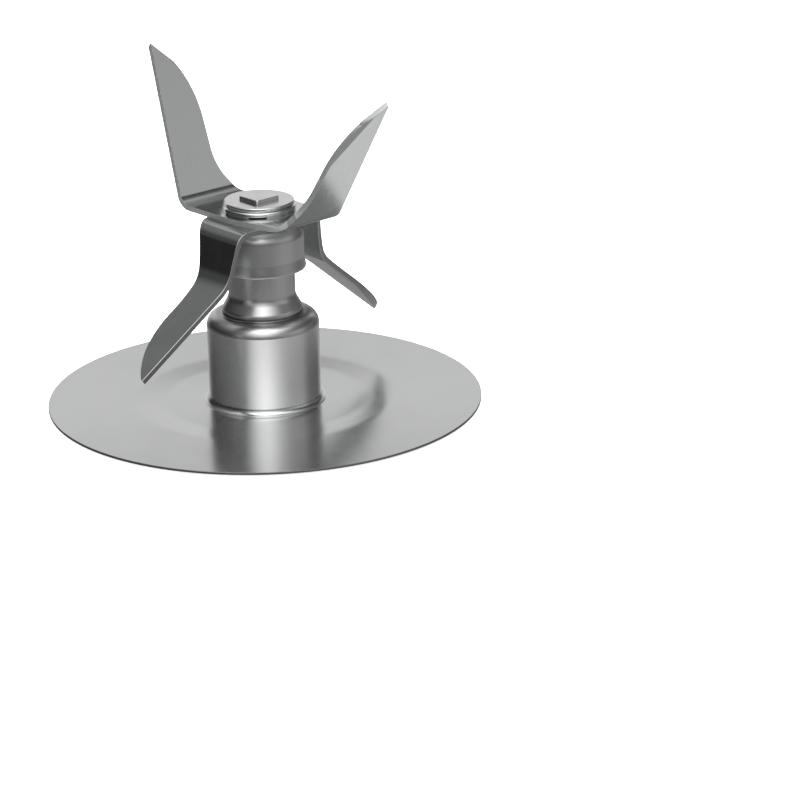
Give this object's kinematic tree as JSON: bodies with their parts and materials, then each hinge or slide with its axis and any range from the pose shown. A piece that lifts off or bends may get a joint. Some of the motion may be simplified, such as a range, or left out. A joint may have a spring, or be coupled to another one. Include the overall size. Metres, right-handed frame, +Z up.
{
  "type": "blender blade assembly",
  "caption": "Blender blade assembly: a drawn steel disc and hub carry a spinning shaft with bent, ground blades above the hub's cap and a square drive socket below.",
  "frame": {"origin": "on the shaft's axis, in the plane of the flat underside of the disc's recessed middle", "axes": "+Z up the shaft towards the blades, +X along the less steep wing of the upper blade"},
  "size_m": [0.06, 0.06, 0.0485],
  "materials": {
    "disc_steel": "polished stainless steel with a faint satin haze",
    "blade_steel": "polished stainless steel sheet with ground edges",
    "shaft_steel": "turned stainless steel",
    "socket_steel": "matt sintered steel",
    "bronze": "oil-soaked sintered bronze",
    "felt": "oiled wool felt",
    "black_rubber": "matt",
    "white_plastic": "low-friction plastic",
    "red_fibre": "vulcanised fibre"
  },
  "bodies": {
    "base": {"base_plate": "disc_steel", "lower_bushing": "bronze", "oil_felt": "felt", "upper_bushing": "bronze", "shaft_seal": "black_rubber"},
    "rotor": {"shaft": "shaft_steel", "drive_socket": "socket_steel", "retaining_ring": "shaft_steel", "steel_washer": "shaft_steel", "fibre_washer": "red_fibre", "top_thrust_washer": "white_plastic", "spacer_sleeve": "shaft_steel", "cap_gasket": "black_rubber", "seal_cap": "disc_steel", "lower_blade": "blade_steel", "upper_blade": "blade_steel", "spring_washer": "shaft_steel", "top_washer": "shaft_steel"}
  },
  "joints": [
    {"name": "blade_spin", "type": "hinge", "parent": "base", "child": "rotor", "pos_m": [0, 0, 0], "axis": [0, 0, 1], "continuous": true}
  ]
}
